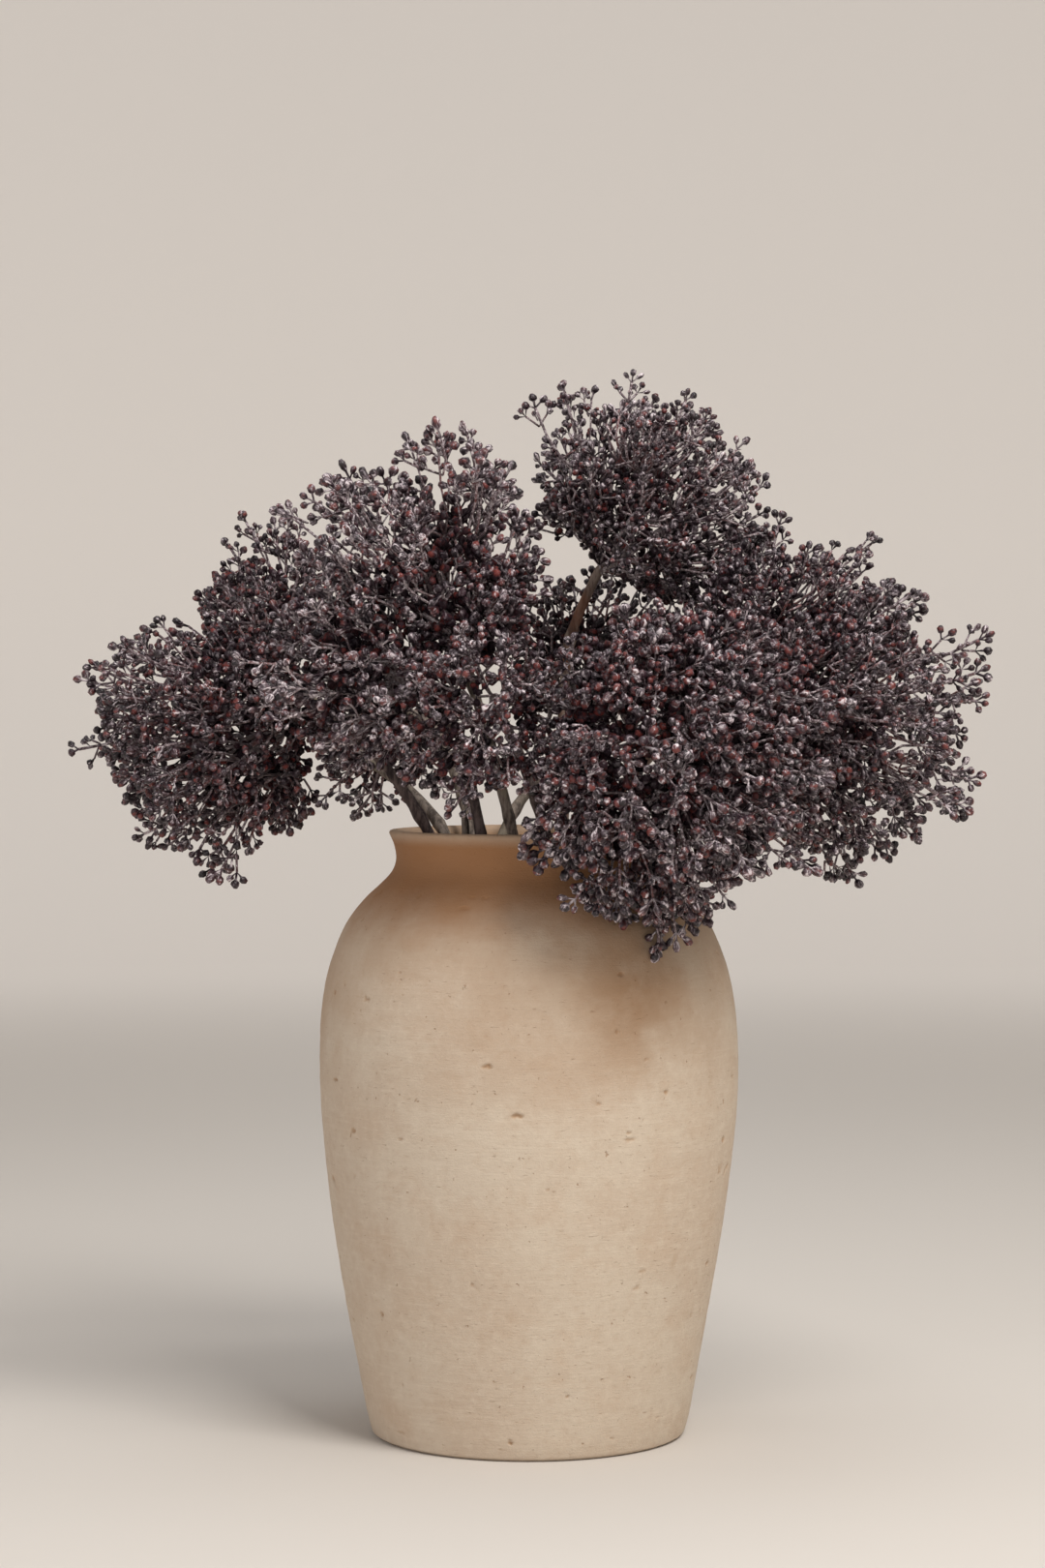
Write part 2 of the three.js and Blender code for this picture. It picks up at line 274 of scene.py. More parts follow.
def waxy_dried_berry():
    """Dried viburnum berries: dark aubergine skins, finely ribbed lengthwise as they shrank,
    with a soft wax gloss, a frosty bloom worked into necks and ribs, and brick red caps on some. The
    near-white streak lines of bloom are also painted glints, and the pale film and the gloss fade
    towards the inside of a head as painted shade."""
    material, tree, shader = new_material("waxy_dried_berry")
    place = node(tree, "TexCoord").outputs["Object"]
    along, tone, outward = (attribute(tree, name) for name in ("along", "tone", "outward"))
    ribs = cloud(tree, attribute(tree, "grain", "Vector"), 1.5, 3, 0.62, 0.6)
    patch = cloud(tree, place, 9, 2, 0.62)
    flush = cloud(tree, place, 3.5, 2, 0.62, 0.4)

    skin = blended(tree, tone, paint("#150d13"), paint("#39262e"))
    brown = maths(tree, "MULTIPLY", ramp(tree, tone, 0.45, 0.8), ramp(tree, patch, 0.42, 0.62, 0.0, 0.5))
    skin = blended(tree, brown, skin, paint("#4b2a28"))
    red = maths(tree, "MULTIPLY", ramp(tree, along, 0.6, 0.95), ramp(tree, tone, 0.3, 0.6))
    red = maths(tree, "MULTIPLY", red, ramp(tree, flush, 0.46, 0.6, 0.0, 0.78))
    neck = ramp(tree, along, 0.2, 0.7, 0.06, -0.03)
    film = maths(tree, "ADD", maths(tree, "ADD", ribs, neck), ramp(tree, patch, 0.3, 0.7, -0.07, 0.06))
    # Each head's extra pale film: partly bloom, and partly painted light on the front heads and painted
    # shade on the back ones.
    film = maths(tree, "ADD", film, attribute(tree, "bloom_and_painted_light"))
    # Painted shade: the pale film fades out towards the inside of a head, so the inner buds are darker.
    painted_depth_shade = ramp(tree, outward, 0.5, 0.88, 0.06, 1.0)
    haze = maths(tree, "MULTIPLY", ramp(tree, film, 0.45, 0.6, 0.0, 0.6), painted_depth_shade)
    # Painted glints: the near-white streak lines are bloom and also stand in for glints of light.
    bloom_streaks_and_glints = maths(tree, "MULTIPLY", ramp(tree, film, 0.57, 0.66, 0.0, 0.9), painted_depth_shade)
    skin = blended(tree, haze, skin, paint("#8d7f88"))
    skin = blended(tree, red, skin, paint("#77352f"))
    skin = blended(tree, bloom_streaks_and_glints, skin, paint("#ded4d8"))
    tree.links.new(skin, shader.inputs["Base Color"])
    tree.links.new(ramp(tree, film, 0.4, 0.7, 0.3, 0.62), shader.inputs["Roughness"])
    # Painted shade: the gloss is dimmed towards the inside of a head.
    tree.links.new(ramp(tree, outward, 0.55, 0.92, 0.1, 0.5), shader.inputs["Specular IOR Level"])
    roughen(tree, shader, ribs, 0.7, 0.5)
    return material


def dried_stalk():
    """The rays and stalks of the heads: pale grey and fibrous near the hub, dark purple and
    frosted further out, with a few brick red. Their near-white streak lines are frosting and also
    painted glints."""
    material, tree, shader = new_material("dried_stalk", Specular_IOR_Level=0.4)
    place = node(tree, "TexCoord").outputs["Object"]
    # Each head's extra pale film: partly bloom, and partly painted light on the front heads and painted
    # shade on the back ones.
    film = maths(tree, "ADD", cloud(tree, place, 1.8, 3, 0.65, 0.6), attribute(tree, "bloom_and_painted_light"))
    outward = ramp(tree, attribute(tree, "outward"), 0.2, 0.7)
    ruddy = ramp(tree, attribute(tree, "tone"), 0.55, 0.85, 0, 0.8)
    skin = blended(tree, outward, paint("#7c7172"), paint("#412d32"))
    skin = blended(tree, ruddy, skin, paint("#6f3731"))
    skin = blended(tree, ramp(tree, film, 0.4, 0.56, 0.0, 0.56), skin, paint("#9a8b91"))
    # Painted glints: the near-white streak lines are frosting and also stand in for glints of light.
    skin = blended(tree, ramp(tree, film, 0.54, 0.65, 0.0, 0.72), skin, paint("#dcd2d5"))
    tree.links.new(skin, shader.inputs["Base Color"])
    tree.links.new(ramp(tree, film, 0.4, 0.7, 0.45, 0.75), shader.inputs["Roughness"])
    roughen(tree, shader, film, 0.7, 0.4)
    return material


def dried_bark(name, dark, pale, stain):
    """Thin dry bark: grey-brown, lightly cracked across, with moss and rust stains."""
    material, tree, shader = new_material(name, Specular_IOR_Level=0.3, Roughness=0.85)
    place = node(tree, "TexCoord").outputs["Object"]
    stretched = node(tree, "Mapping", {"Vector": place, "Scale": (1, 1, 0.25)}).outputs[0]
    fibre = cloud(tree, stretched, 3, 5, 0.65)
    patch = cloud(tree, place, 16, 3)
    skin = blended(tree, ramp(tree, fibre, 0.38, 0.64), paint(dark), paint(pale))
    skin = blended(tree, ramp(tree, patch, 0.5, 0.66, 0.0, 0.6), skin, paint(stain))
    tree.links.new(skin, shader.inputs["Base Color"])
    roughen(tree, shader, fibre, 0.6, 0.4)
    return material


# ---------------------------------------------------------------- vase

# Radius and height, millimetres: the underside from the middle out, the outside from the edge of
# the foot up, the lip, and the inside down to the middle of the floor.
FOOT = [(0, 0.6), (40, 0.5), (66, 0.3), (72, 0), (75.6, 0.1)]
OUTSIDE = [
    (77.2, 1.2), (78.2, 2.6), (80.6, 12), (84, 30), (89.7, 60), (96.3, 100), (101.2, 140), (103.4, 165),
    (104, 187), (103.2, 206), (100.6, 225), (96.2, 240), (89.7, 254), (81, 265.5), (73, 273),
    (67.2, 279.5), (65.2, 286), (66.2, 292.5), (68.2, 297.2),
]
LIP = [(68.8, 298.6), (68.3, 299.6), (66.6, 300), (64, 299.5), (62.3, 298), (61.2, 295.5)]
INSIDE = [
    (59.2, 287), (60.6, 279), (66.4, 270), (75, 262), (84, 251), (92.6, 235), (96.8, 215),
    (97, 187), (94.4, 140), (89.4, 100), (82.8, 60), (77, 30), (72, 15), (66, 10.6),
]
FLOOR = [(56, 10), (30, 10), (0, 10)]
VASE_HEIGHT = 300 * MM
VASE_STEPS = 160
SOLE = 2 * MM  # up to here the foot stays true, so that the vase stands flat
PITS = 170
PIT_WIDTHS = (0.8, 1.0, 1.3, 1.8, 2.4, 3.2)  # half lengths round the wall, millimetres
PIT_CUTS = 4  # into each edge of the wall's faces under a pit
FULL_PIT = 0.9 * MM  # as deep as this, a pit shows bare clay


def profile(places):
    return [Vector((r, 0, z)) * MM for r, z in places]


def thrown_by_hand(point):
    """How far the wall stands out from a true turning: slow waves and throwing rings."""
    angle = math.atan2(point.y, point.x)
    round_about = Vector((math.cos(angle), math.sin(angle), 0))
    slow = noise.noise(round_about * 0.9 + UP * (point.z * 9)) * 0.9 * MM
    rings = noise.noise(round_about * 0.7 + UP * (point.z * 190)) * 0.16 * MM
    dents = noise.noise(round_about * 4 + UP * (point.z * 40)) * 0.18 * MM
    return slow + rings + dents


def pit_places(outside):
    """Middle, half length round the wall, half height and depth of each pit and scratch."""
    stream = random.Random(5)
    heights = lookup([(0, 0, p.z) for p in outside])
    places = []
    for _ in range(PITS):
        height = VASE_HEIGHT * min(stream.random() ** 1.25 + 0.01, 0.9)
        angle = stream.uniform(0, math.tau)
        wide = stream.choice(PIT_WIDTHS) * stream.uniform(0.8, 1.2) * MM
        tall = min(wide, 1.5 * MM) * stream.uniform(0.6, 1.1)
        depth = stream.uniform(0.35, 0.7) * tall
        radius = outside[heights.find((0, 0, height))[1]].x
        middle = Vector((radius * math.cos(angle), radius * math.sin(angle), height))
        places.append((middle, wide, tall, depth))
    return places


def cut_finer(bm, pits):
    """Gives the wall finer faces where the pits go."""
    bm.faces.ensure_lookup_table()
    centres = lookup([face.calc_center_median() for face in bm.faces])
    fine = set()
    for middle, wide, *_ in pits:
        fine |= {i for _, i, _ in centres.find_range(middle, wide * 1.3 + 1.2 * MM)}
    edges = {edge.index: edge for i in fine for edge in bm.faces[i].edges}
    chosen = [edges[i] for i in sorted(edges)]
    bmesh.ops.subdivide_edges(bm, edges=chosen, cuts=PIT_CUTS, use_grid_fill=True)
    put_in_order(bm)


def sinking(bm, pits):
    """How far the corners that lie in a pit sink, by their number."""
    corners = lookup([vert.co for vert in bm.verts])
    sunk = {}
    for middle, wide, tall, depth in pits:
        out = Vector((middle.x, middle.y, 0)).normalized()
        level = out.cross(UP)
        outer_only = middle.to_2d().length - 4 * MM
        for co, i, _ in corners.find_range(middle, wide * 1.5):
            across = (co - middle).dot(level) / wide
            up = (co.z - middle.z) / tall + 0.8 * noise.noise(co * 650)
            share = 1 - math.hypot(across, up)
            if share > 0 and co.to_2d().length > outer_only:
                sunk[i] = max(sunk.get(i, 0), depth * min(1, share * 1.8))
    return sunk


def vase_mesh():
    """The vase as one closed turning, uneven and pitted, with how pitted each corner is."""
    outside = smooth_line(profile(OUTSIDE), 7)
    lip, inside = smooth_line(profile(LIP), 2), smooth_line(profile(INSIDE), 2)
    bm = turned(profile(FOOT) + outside + lip + inside + profile(FLOOR), VASE_STEPS)
    pits = pit_places(outside)
    cut_finer(bm, pits)
    sunk = sinking(bm, pits)
    pitted = bm.verts.layers.float.new("pitted")
    for vert in bm.verts:
        out = Vector((vert.co.x, vert.co.y, 0))
        sink = sunk.get(vert.index, 0)
        if out.length > 30 * MM and vert.co.z > SOLE:
            unevenness = min(1, (vert.co.z - SOLE) / (12 * MM))
            vert.co += out.normalized() * (thrown_by_hand(vert.co) * unevenness - sink)
        vert[pitted] = min(1, sink / FULL_PIT)
    return mesh_of(bm, "earthenware_vase")


# ---------------------------------------------------------------- stems


def centreline(name):
    """The middle and radius of each ring of a CAD limb, from its cut end up."""
    bm = bmesh.new()
    bm.from_mesh(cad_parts[name].data)
    bmesh.ops.remove_doubles(bm, verts=bm.verts, dist=WELD)
    bm.verts.index_update()
    caps = sorted(bm.verts, key=lambda v: max(e.calc_length() for e in v.link_edges))[:2]
    ring = [min(caps, key=lambda v: v.co.z)]
    seen, line = set(ring), []
    while ring:
        beyond = {e.other_vert(v) for v in ring for e in v.link_edges} - seen
        ring = sorted(beyond, key=lambda v: v.index)
        seen.update(ring)
        if len(ring) > 1:
            middle = sum((v.co for v in ring), Vector()) / len(ring)
            line.append((middle, (ring[0].co - middle).length))
    bm.free()
    return line


def limb(bm, places, radii, sides):
    """A round limb, a ring extruded from place to place. Gives its two open end rings."""
    made = bmesh.ops.create_circle(bm, segments=sides, radius=1.0)["verts"]
    edges = sorted({e for v in made for e in v.link_edges}, key=lambda e: [v.co[:] for v in e.verts])
    turn = UP.rotation_difference(places[1] - places[0])
    before = Matrix.Identity(4)
    first = made
    for i, (place, radius) in enumerate(zip(places, radii)):
        if 0 < i < len(places) - 1:
            was, now = places[i] - places[i - 1], places[i + 1] - places[i]
            turn = was.rotation_difference(now).slerp(Quaternion(), 0.5) @ turn
        after = Matrix.LocRotScale(place, turn, (radius,) * 3)
        if i:
            geometry = bmesh.ops.extrude_edge_only(bm, edges=edges)["geom"]
            made = [g for g in geometry if isinstance(g, bmesh.types.BMVert)]
            lines = [g for g in geometry if isinstance(g, bmesh.types.BMEdge)]
            edges = [edge for edge in lines if all(v in made for v in edge.verts)]
        bmesh.ops.transform(bm, matrix=after @ before.inverted(), verts=made)
        before = after
    return first, made


JOINT_SPREAD = 2.6 * MM  # how far along a stem the swelling at a joint reaches


def joint_places(length, stream):
    """How far along a stem its swollen joints are, where leaves and buds once were."""
    joints, along = [], stream.uniform(18, 30) * MM
    while along < length - 12 * MM:
        joints.append(along)
        along += stream.uniform(26, 44) * MM
    return joints


def stem_mesh(name, line, lead, stream):
    """Bark on a stem's own line: swollen at the joints, a little crooked, and lumpy."""
    centres = smooth_line([middle for middle, _ in line] + [line[-1][0] + lead], 5)
    first, last = line[0][1], line[-1][1]
    length = sum((b - a).length for a, b in zip(centres, centres[1:]))
    joints = joint_places(length, stream)
    radii, gone = [], 0.0
    seed = Vector((stream.uniform(-9, 9), 0, 0))
    for i, place in enumerate(centres):
        gone += (place - centres[i - 1]).length if i else 0
        radius = first + (last - first) * gone / length
        near = min((abs(gone - joint) for joint in joints), default=1)
        swelling = 0.3 * math.exp(-((near / JOINT_SPREAD) ** 2))
        radii.append(radius * (0.93 + swelling + 0.1 * noise.noise(seed + place * 60)))
    bm = bmesh.new()
    for ring in limb(bm, centres, radii, 10):
        edges = [e for e in bm.edges if e.is_boundary and all(v in ring for v in e.verts)]
        bmesh.ops.edgeloop_fill(bm, edges=edges)
    for vert in bm.verts:
        vert.co += Vector(noise.noise_vector(vert.co * 260 + seed)) * 0.28 * MM
    bmesh.ops.recalc_face_normals(bm, faces=bm.faces)
    put_in_order(bm)
    return mesh_of(bm, name)


# ---------------------------------------------------------------- berry heads

# Buds with their stalklets, millimetres: how thick and how far along, and the sides round.
# The first ones show on the outside of a head, and the plainer last ones fill it.
BUD_SHAPES = [
    (7, [(0, 0), (0.5, 0), (0.5, 3.5), (1.5, 4.4), (2.15, 5.9), (1.75, 7.4), (0.85, 8.1), (0, 7.8)]),
    (6, [(0, 0), (0.5, 0), (0.55, 3.7), (1.85, 5.0), (2.0, 6.6), (0.95, 8.0), (0, 7.7)]),
    (6, [(0, 0), (0.48, 0), (0.5, 3.3), (1.5, 4.9), (1.7, 6.9), (0.8, 8.5), (0, 8.3)]),
    (5, [(0, -1.2), (0.6, 3.7), (1.9, 5.2), (1.95, 6.9), (0, 8.1)]),
    (5, [(0, -1.2), (0.6, 3.7), (1.7, 5.2), (1.75, 7.2), (0, 8.6)]),
]
SHOWN, BELOW, FILLING = (0, 1, 1, 2), (1, 3, 3, 4), (3, 4)
BUD_LEAD = 8.4 * MM  # from the end of a stalk to the tip of its bud
TIP_SPACING = 13.4 * MM  # between sprays on the outside of a head
INNER_SPACING = 16.2 * MM  # between sprays inside it
FORK_SPACING = 27 * MM  # between the forks that carry the outer sprays
RAY_SPACING = 0.36  # between the rays from the hub, as a part of the head's reach
LOBE_DRAW = 0.14  # how far the sprays of a fork draw together
TRIES = 2600  # points tried, enough to fill the outline of the widest head

# Least, most and usual, millimetres: how far past the dome a spray ends, how far past the rest a
# whole lobe stands, and how much further a stray spray reaches.
TIP_JITTER, LOBE_STAND, STRAY_REACH = (-12, 6, -1), (-15, 7, -2), (4, 25, 9)
STRAY_CHANCE = 0.28

# How far out from the hub a ray ends, a fork opens and an inner spray ends, as parts of the way.
RAY_END, FORK_PLACE, INNER_END = (0.3, 0.4), (0.55, 0.68), (0.38, 0.84)

# Radius of each kind of stalk, millimetres, where it starts and where it ends.
RAY, FORK, TWIG = (1.45, 1.1), (0.95, 0.78), (0.72, 0.58)
INNER_TWIG, STALKLET = (0.7, 0.56), (0.55, 0.6)


class Style(NamedTuple):
    """How a head differs from the rest."""

    bud_size: float = 1.0
    apart: float = 1.0  # how far apart its sprays are
    bare: float = 0.46  # the part of its reach, from the hub, that is left bare
    bloom_and_painted_light: float = 0.01  # how much more of the pale bloom it has; the front heads have more and the back ones none, so it is also painted light on the front heads and painted shade on the back ones
    ruddy: float = 0.78  # the highest tone of its buds, and high tones are the red ones


STYLES = {
    "front_right": Style(1.24, 0.98, 0.16, 0.034, 1.0),
    "right": Style(1.08, 1.02, 0.34, 0.018, 0.8),
    "left": Style(1.03, 0.97, 0.4, 0.0, 0.95),
    "low_centre": Style(1.04, 1.25, 0.4, 0.03, 0.95),
    "front_left": Style(1.2, 1.24, 0.3, 0.058, 1.0),
    "top_centre": Style(1.17, 1.2, 0.22, 0.044, 1.0),
    "top_right": Style(1.0, 1.03, 0.5, 0.03, 0.72),
    "back_left": Style(1.0, 1.2, 0.48, 0.0, 0.85),
    "low_back_left": Style(1.0, 1.12, 0.46, 0.0, 0.85),
    "back_centre": Style(1.0, 1.25, 0.46, 0.0, 0.85),
}


def bud_templates():
    """Each bud's mesh, with how far up it each corner is and where its ribs run."""
    templates = []
    for index, (sides, shape) in enumerate(BUD_SHAPES):
        bm = turned(profile(shape), sides)
        for vert in bm.verts:
            dry = noise.noise_vector(vert.co * 450 + UP * index)
            vert.co += Vector(dry) * min(0.5 * MM, vert.co.to_2d().length * 0.3)
        mesh = mesh_of(bm, f"bud_shape_{index}")
        long = max(v.co.z for v in mesh.vertices)
        grain = [Vector((v.co.x, v.co.y, v.co.z * 0.3)) for v in mesh.vertices]
        templates.append((mesh, [max(0, v.co.z / long) for v in mesh.vertices], grain))
    return templates


def head_outline(name):
    """The convex hull of a CAD head, without the corners inside it."""
    bm = bmesh.new()
    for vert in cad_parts[name].data.vertices:
        bm.verts.new(vert.co)
    bmesh.ops.remove_doubles(bm, verts=bm.verts, dist=WELD)
    bm.verts.index_update()
    hull = bmesh.ops.convex_hull(bm, input=bm.verts)
    spare = {g for g in hull["geom_interior"] + hull["geom_unused"] if isinstance(g, bmesh.types.BMVert)}
    bmesh.ops.delete(bm, geom=sorted(spare, key=lambda v: v.index), context="VERTS")
    return bm


def scattered(outline, hub, nearest, spacing, stream):
    """Points about this far apart over the outline, apart from what is close to the hub."""
    faces = list(outline.faces)
    picked = []
    for face in stream.choices(faces, [f.calc_area() for f in faces], k=TRIES):
        a, b, c = (v.co for v in face.verts)
        u, v = stream.random(), stream.random()
        if u + v > 1:
            u, v = 1 - u, 1 - v
        point = a + (b - a) * u + (c - a) * v
        if (point - hub).length > nearest and all((point - p).length > spacing for p in picked):
            picked.append(point)
    return picked


def gathered(points, spacing):
    """The points in groups, each round one of them, with the groups about this far apart."""
    seeds = []
    for point in points:
        if all((point - seed).length > spacing for seed in seeds):
            seeds.append(point)
    groups = [[] for _ in seeds]
    for i, point in enumerate(points):
        groups[min(range(len(seeds)), key=lambda k: (seeds[k] - point).length)].append(i)
    return [group for group in groups if group]


def mean(points):
    return sum(points, Vector()) / len(points)


def turned_out(way, side, angle):
    """A direction that leaves way at an angle, towards side."""
    return (way * math.cos(angle) + side * math.sin(angle)).normalized()


class Head:
    """One umbel: rays from the hub fork twice and end in little forks of buds."""

    def __init__(self, name, hub, templates, stream):
        self.name, self.hub, self.templates, self.stream = name, hub, templates, stream
        self.lines, self.buds, self.bracts = [], [], []
        outline = head_outline(f"sprig_{name}_berries")
        self.corners = [v.co - hub for v in outline.verts if (v.co - hub).length > 12 * MM]
        self.far = max(c.length for c in self.corners)
        self.style = style = STYLES.get(name, Style())
        tips = scattered(outline, hub, style.bare * self.far, TIP_SPACING * style.apart, stream)
        inner_bare = (style.bare + 0.04) * self.far
        inner = scattered(outline, hub, inner_bare, INNER_SPACING * style.apart, stream)
        outline.free()
        self.grow(tips, inner)

    def reach(self, way):
        """How far the dome of berries goes this way, rounded between the CAD clusters."""
        total = weight = 0.0
        for corner in self.corners:
            share = math.exp(24 * (way.dot(corner.normalized()) - 1))
            total += share * corner.length
            weight += share
        return total / weight

    def stalk(self, start, start_way, end, end_way, kind, steps):
        """A stalk that leaves its fork wide, turns to face out, and is a little crooked."""
        stream = self.stream
        span = end - start
        sideways = span - span.project(start_way)
        leave = start + sideways * stream.uniform(0.35, 0.7) + start_way * (span.length * 0.12)
        arrive = end - end_way * (span.length * stream.uniform(0.2, 0.4))
        places = interpolate_bezier(start, leave, arrive, end, steps + 1)
        kink = min(1.6 * MM, span.length * 0.06)
        for place in places[1:-1]:
            place += Vector([stream.uniform(-kink, kink) for _ in range(3)])
        thick, thin = (radius * MM for radius in kind)
        radii = [thick + (thin - thick) * i / steps for i in range(steps + 1)]
        radii[-1] *= 1.3
        self.lines.append((places, radii, stream.random()))

    def bud(self, base, way, size, kinds):
        """One bud of any of these kinds, with its size, girth and turn drawn at random."""
        stream = self.stream
        size *= self.style.bud_size * stream.uniform(0.82, 1.12)
        wide = size * stream.uniform(0.86, 1.06)
        turn = UP.rotation_difference(way) @ Quaternion(UP, stream.uniform(0, math.tau))
        place = Matrix.LocRotScale(base, turn, (wide, wide, size * stream.uniform(0.84, 1.04)))
        self.buds.append((stream.choice(kinds), place, stream.random() * self.style.ruddy))

    def trio(self, tip, way, size, kinds):
        """A bud at the end of a stalk, with one on each side of it."""
        stream = self.stream
        side = Quaternion(way, stream.uniform(0, math.tau)) @ way.orthogonal().normalized()
        across = way.cross(side)
        self.bud(tip, turned_out(way, across, stream.uniform(-0.25, 0.25)), size, kinds)
        for sign in (1, -1):
            if stream.random() < 0.93:
                lean = turned_out(side * sign, across, stream.uniform(-0.4, 0.4))
                self.bud(tip, turned_out(way, lean, stream.uniform(0.6, 1.1)), size * 0.94, kinds)
        return side, across

    def cyme(self, tip, way, size, kinds, below):
        """A spray at the end of a stalk: a trio, a bud or two below it, then two small forks."""
        stream = self.stream
        side, across = self.trio(tip, way, size, kinds)
        base = tip - way * stream.uniform(5, 8) * MM
        for sign in (1, -1):
            if stream.random() < 0.7:
                small = size * stream.choice((1, 0.9, 0.62))
                self.bud(base, turned_out(way, across * sign, stream.uniform(0.7, 1.2)), small, below)
        base = tip - way * stream.uniform(9, 14) * MM
        for sign in (1, -1):
            if stream.random() < 0.93:
                lean = turned_out(side * sign, across, stream.uniform(-0.6, 0.6))
                out = turned_out(way, lean, stream.uniform(0.6, 1.05))
                end = base + out * stream.uniform(5, 10) * MM
                self.lines.append(([base, end], [radius * MM for radius in STALKLET], stream.random()))
                self.trio(end, (out + way * 0.4).normalized(), size * 0.95, below)
        if stream.random() < 0.4:
            self.bracts.append((tip, turned_out(way, -side, stream.uniform(0.5, 1.2))))

    def grow(self, tips, inner):
        """Rays, forks and twigs from the hub out to the tips, then the sprays inside."""
        stream, hub = self.stream, self.hub
        ends = []
        for point in tips:
            way = (point - hub).normalized()
            jitter = stream.triangular(*TIP_JITTER) * MM
            ends.append(hub + way * (self.reach(way) - BUD_LEAD + jitter))
        forks = gathered(ends, FORK_SPACING)
        fork_points = [mean([ends[i] for i in group]) for group in forks]
        # The sprays of a fork draw together into a lobe, and lobes stand out unevenly.
        for middle, group in zip(fork_points, forks):
            stand = (middle - hub).normalized() * stream.triangular(*LOBE_STAND) * MM
            for i in group:
                ends[i] = ends[i].lerp(middle, LOBE_DRAW) + stand
        joints = []
        for ray in gathered(fork_points, RAY_SPACING * self.far):
            ray_end = hub + (mean([fork_points[k] for k in ray]) - hub) * stream.uniform(*RAY_END)
            ray_way = (ray_end - hub).normalized()
            self.stalk(hub, ray_way, ray_end, ray_way, RAY, 4)
            for k in ray:
                fork = hub + (fork_points[k] - hub) * stream.uniform(*FORK_PLACE)
                fork_way = (fork_points[k] - hub).normalized()
                self.stalk(ray_end, ray_way, fork, fork_way, FORK, 4)
                joints += [(ray_end, ray_way), (fork, fork_way)]
                for i in forks[k]:
                    self.twig(fork, fork_way, ends[i])
        for point in inner:
            way = (point - hub).normalized()
            end = hub + way * self.reach(way) * stream.uniform(*INNER_END)
            below = [j for j in joints if (j[0] - hub).length < (end - hub).length - 6 * MM]
            start, start_way = min(below or joints, key=lambda j: (j[0] - end).length)
            lean = Vector([stream.uniform(-1, 1) for _ in range(3)])
            out = (way + lean * 0.6).normalized()
            self.stalk(start, start_way, end, out, INNER_TWIG, 2)
            self.cyme(end, out, stream.uniform(1.0, 1.25), FILLING, FILLING)

    def twig(self, fork, fork_way, end):
        """A twig with its spray. Some stray past the rest, more to the sides than front or back."""
        stream = self.stream
        out = (end - self.hub).normalized()
        if stream.random() < STRAY_CHANCE:
            end = end + out * stream.triangular(*STRAY_REACH) * (1 - 0.7 * abs(out.y)) * MM
        lean = Vector([stream.uniform(-1, 1) for _ in range(3)])
        way = (out + (end - fork).normalized() * 0.5 + lean * 0.6).normalized()
        self.stalk(fork, fork_way, end, way, TWIG, 3)
        self.cyme(end, way, stream.uniform(0.88, 1.08), SHOWN, BELOW)

    def stalks_mesh(self):
        """Every stalk as a bevelled curve, with the small dry bracts at some of the sprays."""
        curve = bpy.data.curves.new(self.name, "CURVE")
        curve.dimensions, curve.bevel_depth, curve.bevel_resolution = "3D", 1.0, 0
        curve.use_fill_caps = True
        tones = []
        for places, radii, tone in self.lines:
            spline = curve.splines.new("POLY")
            spline.points.add(len(places) - 1)
            for point, place, radius in zip(spline.points, places, radii):
                point.co, point.radius = (*place, 1), radius
            tones.append((tone, len(places) + 2))  # a cap at each end adds one more ring
        holder = bpy.data.objects.new(self.name, curve)
        bpy.context.scene.collection.objects.link(holder)
        evaluated = holder.evaluated_get(bpy.context.evaluated_depsgraph_get())
        mesh = bpy.data.meshes.new_from_object(evaluated)
        bpy.data.objects.remove(holder)
        bpy.data.curves.remove(curve)
        sides = len(mesh.vertices) // sum(count for _, count in tones)
        note(mesh, "tone", [tone for tone, count in tones for _ in range(count * sides)])
        note(mesh, "outward", [min(1, (v.co - self.hub).length / self.far) for v in mesh.vertices])
        note(mesh, "bloom_and_painted_light", [self.style.bloom_and_painted_light] * len(mesh.vertices))
        bm = bmesh.new()
        bm.from_mesh(mesh)
        bpy.data.meshes.remove(mesh)
        bmesh.ops.remove_doubles(bm, verts=bm.verts, dist=WELD)
        for place, way in self.bracts:
            turn = UP.rotation_difference(way)
            spot = Matrix.LocRotScale(place + way * 1.3 * MM, turn, (1, 0.5, 1))
            bmesh.ops.create_cone(
                bm, cap_ends=True, segments=4, radius1=0.75 * MM, radius2=0, depth=3.2 * MM,
                matrix=spot,
            )
        return mesh_of(bm, self.name)

    def buds_mesh(self):
        """Every bud, with what the material needs to know of each corner."""
        bm = bmesh.new()
        along, tones, grains, outwards = [], [], [], []
        for kind, place, tone in self.buds:
            template, share, grain = self.templates[kind]
            copy = template.copy()
            copy.transform(place)
            bm.from_mesh(copy)
            bpy.data.meshes.remove(copy)
            along += share
            tones += [tone] * len(share)
            from_hub = place.translation - self.hub
            outwards += [min(1, from_hub.length / self.reach(from_hub.normalized()))] * len(share)
            apart = place.translation * 7
            grains += [number for g in grain for number in g + apart]
        mesh = mesh_of(bm, self.name)
        note(mesh, "along", along)
        note(mesh, "outward", outwards)
        note(mesh, "grain", grains, "FLOAT_VECTOR")
        note(mesh, "bloom_and_painted_light", [self.style.bloom_and_painted_light] * len(along))
        note(mesh, "tone", tones)
        return mesh


# ---------------------------------------------------------------- the part

clay = limewashed_earthenware()
berry = waxy_dried_berry()
stalk = dried_stalk()
grey_bark = dried_bark("grey_bark", "#4a413c", "#8d8177", "#736a5a")
dark_bark = dried_bark("dark_bark", "#33292a", "#6b5d59", "#4a3a36")
red_bark = dried_bark("red_bark", "#5a4740", "#94857b", "#84553f")
BARKS = {
    "left": dark_bark, "front_left": dark_bark, "low_centre": dark_bark,
    "top_right": red_bark, "back_right": red_bark,
}

